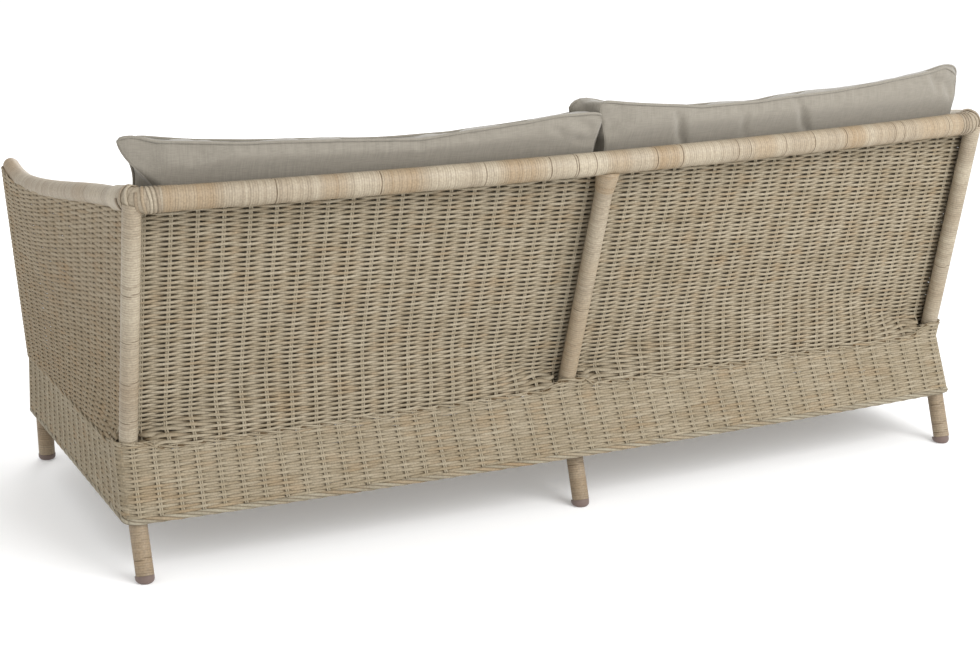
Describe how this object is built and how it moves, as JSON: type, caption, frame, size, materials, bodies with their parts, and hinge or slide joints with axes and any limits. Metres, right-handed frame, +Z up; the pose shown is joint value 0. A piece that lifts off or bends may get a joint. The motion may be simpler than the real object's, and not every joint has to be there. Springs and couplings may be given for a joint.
{
  "type": "rattan garden sofa",
  "caption": "Rattan garden sofa with a bowed woven back, sloping arms with turned-up front ends, a woven apron, splayed legs, and loose seat and back cushions.",
  "frame": {"origin": "on the floor under the middle of the overall box", "axes": "+X along the sofa towards the sitter's left, +Y towards the back, +Z up"},
  "size_m": [2.133, 0.9904, 0.9129],
  "materials": {
    "wrapped_pole": "natural rattan pole wrapped in peel, washed pale",
    "bare_pole": "plain rattan pole",
    "woven": "round rattan core woven over stakes, washed pale grey",
    "border": "rattan strands twisted and braided",
    "foot_plastic": "moulded brown-grey glide",
    "linen": "woven taupe linen with piped seams"
  },
  "bodies": {
    "frame": {"back_rail": "wrapped_pole", "arm_rail_left": "wrapped_pole", "arm_rail_right": "wrapped_pole", "pin_rear_left": "bare_pole", "pin_rear_centre": "bare_pole", "pin_rear_right": "bare_pole", "pin_front_left": "bare_pole", "pin_front_centre": "bare_pole", "pin_front_right": "bare_pole", "rear_post_centre": "wrapped_pole", "rear_post_left": "wrapped_pole", "rear_post_right": "wrapped_pole", "front_post_left": "wrapped_pole", "front_post_right": "wrapped_pole", "rear_leg_left": "wrapped_pole", "rear_leg_centre": "wrapped_pole", "rear_leg_right": "wrapped_pole", "front_leg_left": "wrapped_pole", "front_leg_centre": "wrapped_pole", "front_leg_right": "wrapped_pole", "foot_cap_rear_left": "foot_plastic", "foot_cap_rear_centre": "foot_plastic", "foot_cap_rear_right": "foot_plastic", "foot_cap_front_left": "foot_plastic", "foot_cap_front_centre": "foot_plastic", "foot_cap_front_right": "foot_plastic", "seat_rail_front": "bare_pole", "seat_rail_rear": "bare_pole", "seat_rail_left": "bare_pole", "seat_rail_right": "bare_pole", "seat_bearer_1": "bare_pole", "seat_bearer_2": "bare_pole", "seat_bearer_3": "bare_pole", "seat_bearer_4": "bare_pole", "seat_deck": "woven", "rail_binding_left": "wrapped_pole", "rail_binding_right": "wrapped_pole", "post_binding_centre": "wrapped_pole", "back_weave": "woven", "arm_weave_left": "woven", "arm_weave_right": "woven", "apron_rear": "woven", "apron_right": "woven", "apron_front": "woven", "apron_left": "woven", "apron_border_rear": "border", "apron_border_right": "border", "apron_border_front": "border", "apron_border_left": "border", "waist_band_rear": "border", "waist_band_right": "border", "waist_band_front": "border", "waist_band_left": "border"},
    "seat_cushion_left": {"seat_cushion_left": "linen"},
    "seat_cushion_right": {"seat_cushion_right": "linen"},
    "back_cushion_left": {"back_cushion_left": "linen"},
    "back_cushion_right": {"back_cushion_right": "linen"}
  },
  "joints": [
    {"name": "seat_cushion_left_slide", "type": "slide", "parent": "frame", "child": "seat_cushion_left", "axis": [0, -1, 0], "range_m": [0, 0.3]},
    {"name": "seat_cushion_right_slide", "type": "slide", "parent": "frame", "child": "seat_cushion_right", "axis": [0, -1, 0], "range_m": [0, 0.3]},
    {"name": "back_cushion_left_lift", "type": "slide", "parent": "frame", "child": "back_cushion_left", "axis": [0, 0, 1], "range_m": [0, 0.35]},
    {"name": "back_cushion_right_lift", "type": "slide", "parent": "frame", "child": "back_cushion_right", "axis": [0, 0, 1], "range_m": [0, 0.35]}
  ]
}
